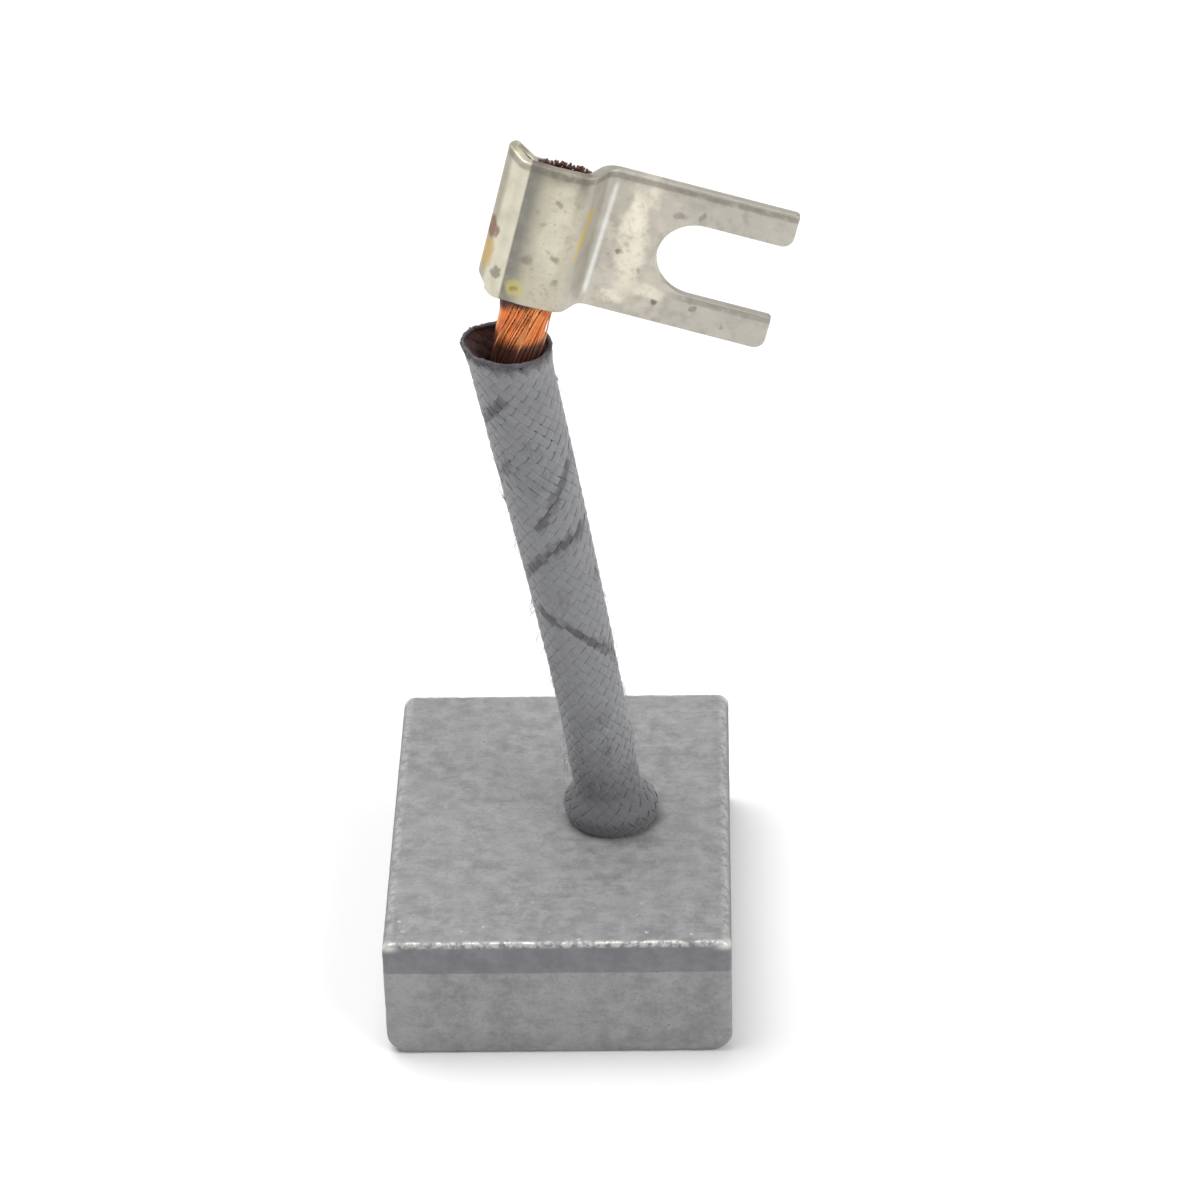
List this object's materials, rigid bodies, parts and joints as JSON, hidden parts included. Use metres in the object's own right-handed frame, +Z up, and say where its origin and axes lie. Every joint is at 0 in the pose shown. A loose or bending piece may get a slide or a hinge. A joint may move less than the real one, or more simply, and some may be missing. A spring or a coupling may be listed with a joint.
{
  "type": "carbon brush",
  "caption": "Rectangular metal-graphite brush block with a sleeved copper lead standing on its broad upper face and a folded fork terminal crimped to the lead's free end.",
  "frame": {"origin": "middle of the block's underside, which is its running face", "axes": "+Z up through the block to the lead, +Y along the block's longest side, +X towards the fork's open end"},
  "size_m": [0.0301, 0.032, 0.065],
  "materials": {
    "metal_graphite": "pressed and ground, mottled, slightly glittering",
    "contact_powder": "tamped powder, dull",
    "copper_strand": "bright fine copper strands",
    "glass_braid": "braided glass-fibre yarn, grey, matt",
    "tinned_brass": "dull tin plate, stained, brass showing at the folds"
  },
  "bodies": {
    "root": {"carbon_block": "metal_graphite", "contact_powder": "contact_powder", "copper_lead": "copper_strand", "glass_sleeve": "glass_braid", "fork_terminal": "tinned_brass"}
  },
  "joints": []
}
